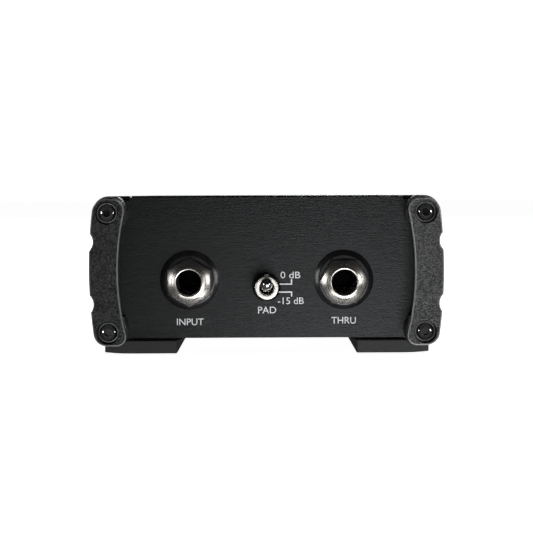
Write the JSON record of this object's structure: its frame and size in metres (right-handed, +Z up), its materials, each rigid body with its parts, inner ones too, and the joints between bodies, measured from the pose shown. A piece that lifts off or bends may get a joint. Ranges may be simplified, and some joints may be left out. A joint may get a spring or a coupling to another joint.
{
  "type": "direct injection box",
  "caption": "Passive direct injection box: flat extruded case with cast corner bumpers, two jack sockets and a pad switch in front, XLR output and lift switch behind.",
  "frame": {"origin": "centre of the box's footprint, on the surface it stands on", "axes": "+X to the right seen from the front, +Y from the jack panel towards the output panel, +Z up"},
  "size_m": [0.091, 0.13, 0.0407],
  "materials": {
    "panel_black": "black anodised, fine horizontal brushing",
    "cast_black": "charcoal powder coat with a cast grain",
    "rail_black": "black anodised extrusion, fine lengthwise grain",
    "cover_black": "satin black powder coat",
    "foot_rubber": "moulded rubber, fine grain",
    "black_steel": "black oxide",
    "nickel": "bright nickel plate",
    "black_nickel": "dark nickel plate",
    "chrome": "polished chrome plate",
    "shell_nickel": "satin nickel on die-cast zinc",
    "contact_brass": "plated contact brass",
    "zinc_steel": "bright zinc plate",
    "housing_plastic": "moulded black nylon",
    "insert_plastic": "moulded black insulator",
    "wire_insulation": "hook-up wire insulation",
    "board_laminate": "green solder mask on glass laminate",
    "core_steel": "stacked nickel-iron laminations",
    "bobbin_nylon": "natural nylon",
    "winding_tape": "yellow polyester tape over copper",
    "resistor_lacquer": "blue lacquer",
    "capacitor_case": "red film capacitor case"
  },
  "bodies": {
    "case": {"base_plate": "cover_black", "board_screws": "zinc_steel", "board_standoffs": "zinc_steel", "circuit_board": "board_laminate", "foot_screws": "black_steel", "front_bumper_screws": "black_steel", "front_left_bumper": "cast_black", "front_panel": "panel_black", "front_right_bumper": "cast_black", "input_jack_body": "housing_plastic", "input_jack_ground_spring": "contact_brass", "input_jack_nut": "nickel", "input_jack_sleeve": "nickel", "input_jack_tip_spring": "contact_brass", "input_jack_washer": "black_nickel", "left_foot": "foot_rubber", "left_side_rail": "rail_black", "lift_capacitor": "capacitor_case", "lift_switch_body": "housing_plastic", "lift_switch_bushing": "nickel", "lift_switch_terminals": "contact_brass", "output_insert": "insert_plastic", "output_pins": "contact_brass", "output_screw_nuts": "zinc_steel", "output_screws": "black_steel", "output_shell": "shell_nickel", "output_wires": "wire_insulation", "pad_resistors": "resistor_lacquer", "pad_switch_body": "housing_plastic", "pad_switch_bushing": "nickel", "pad_switch_terminals": "contact_brass", "rear_bumper_screws": "black_steel", "rear_left_bumper": "cast_black", "rear_panel": "panel_black", "rear_right_bumper": "cast_black", "right_foot": "foot_rubber", "right_side_rail": "rail_black", "thru_jack_body": "housing_plastic", "thru_jack_ground_spring": "contact_brass", "thru_jack_nut": "nickel", "thru_jack_sleeve": "nickel", "thru_jack_tip_spring": "contact_brass", "thru_jack_washer": "black_nickel", "top_cover": "cover_black", "transformer_bobbin": "bobbin_nylon", "transformer_core": "core_steel", "transformer_pins": "contact_brass", "transformer_winding": "winding_tape"},
    "pad_lever": {"pad_switch_lever": "chrome"},
    "pad_rocker": {"pad_switch_rocker": "contact_brass"},
    "lift_lever": {"lift_switch_lever": "chrome"},
    "lift_rocker": {"lift_switch_rocker": "contact_brass"}
  },
  "joints": [
    {"name": "pad_switch_throw", "type": "hinge", "parent": "case", "child": "pad_lever", "pos_m": [0, -0.0569, 0.0168], "axis": [1, 0, 0], "range_deg": [0, 20]},
    {"name": "pad_rocker_tilt", "type": "hinge", "parent": "case", "child": "pad_rocker", "pos_m": [0, -0.0496, 0.0168], "axis": [1, 0, 0], "range_deg": [-18, 0]},
    {"name": "lift_switch_throw", "type": "hinge", "parent": "case", "child": "lift_lever", "pos_m": [0.025, 0.0569, 0.0219], "axis": [-1, 0, 0], "range_deg": [0, 20]},
    {"name": "lift_rocker_tilt", "type": "hinge", "parent": "case", "child": "lift_rocker", "pos_m": [0.025, 0.0496, 0.0219], "axis": [-1, 0, 0], "range_deg": [-18, 0]}
  ],
  "couplings": [
    {"joint": "pad_rocker_tilt", "follows": "pad_switch_throw", "ratio": -0.9},
    {"joint": "lift_rocker_tilt", "follows": "lift_switch_throw", "ratio": -0.9}
  ]
}
